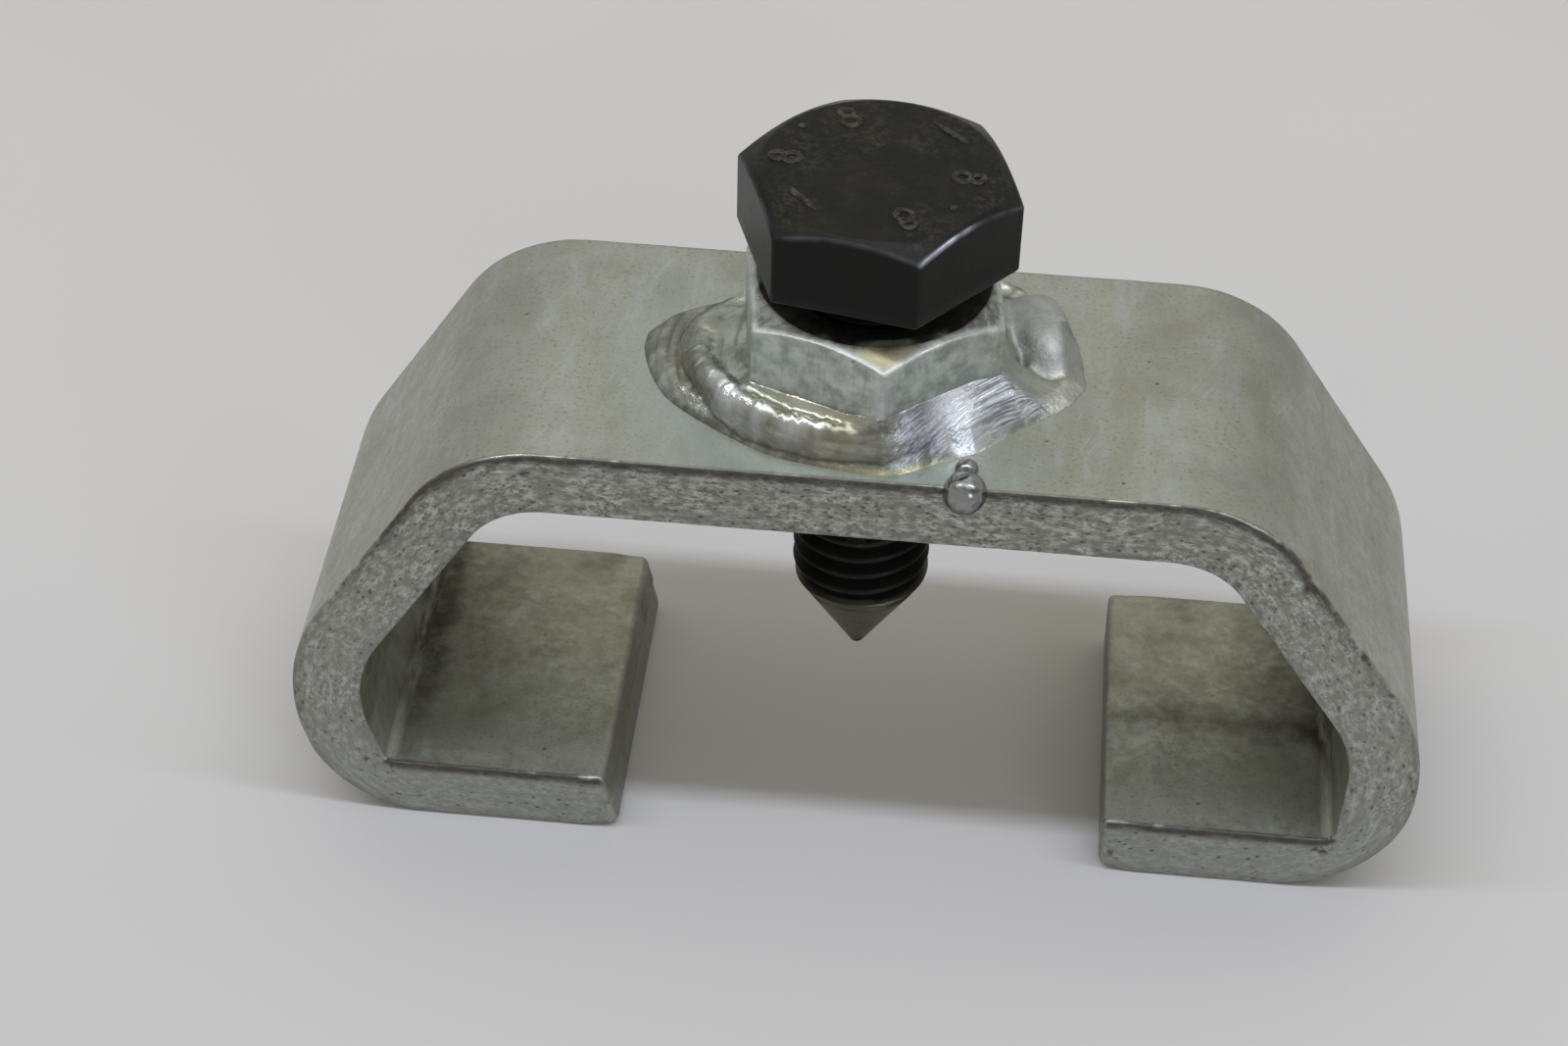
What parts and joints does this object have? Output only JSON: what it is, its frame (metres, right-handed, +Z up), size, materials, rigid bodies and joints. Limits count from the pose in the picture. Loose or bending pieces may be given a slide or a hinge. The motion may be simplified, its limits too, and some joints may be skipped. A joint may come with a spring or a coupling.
{
  "type": "sprocket puller",
  "caption": "Small puller: a folded steel bar with two hooked lips, a nut welded on its top and a pointed forcing bolt through it.",
  "frame": {"origin": "on the plane that the two hooked lips stand on, under the forcing bolt's axis", "axes": "+Z up along the bolt's axis from the lips to the bolt's head, +X along the yoke's span towards the lip on the picture's right, -Y out of the front face with the weld spatter"},
  "size_m": [0.0807, 0.0265, 0.0524],
  "materials": {
    "bar_zinc": "dull worn zinc plate over folded flat bar, with grainy cut edges",
    "nut_zinc": "dull zinc plate with bright worn corners",
    "weld_bead": "shiny weld metal with heat tints, partly ground",
    "black_oxide": "black oxide, satin, with a bare turned point"
  },
  "bodies": {
    "yoke": {"yoke": "bar_zinc", "weld_nut": "nut_zinc", "weld_front_run": "weld_bead", "weld_right_run": "weld_bead", "weld_back_run": "weld_bead", "weld_spatter": "weld_bead"},
    "forcing_bolt": {"forcing_bolt": "black_oxide"}
  },
  "joints": [
    {"name": "bolt_advance", "type": "slide", "parent": "yoke", "child": "forcing_bolt", "axis": [0, 0, -1], "range_m": [-0.022, 0.0021]}
  ]
}
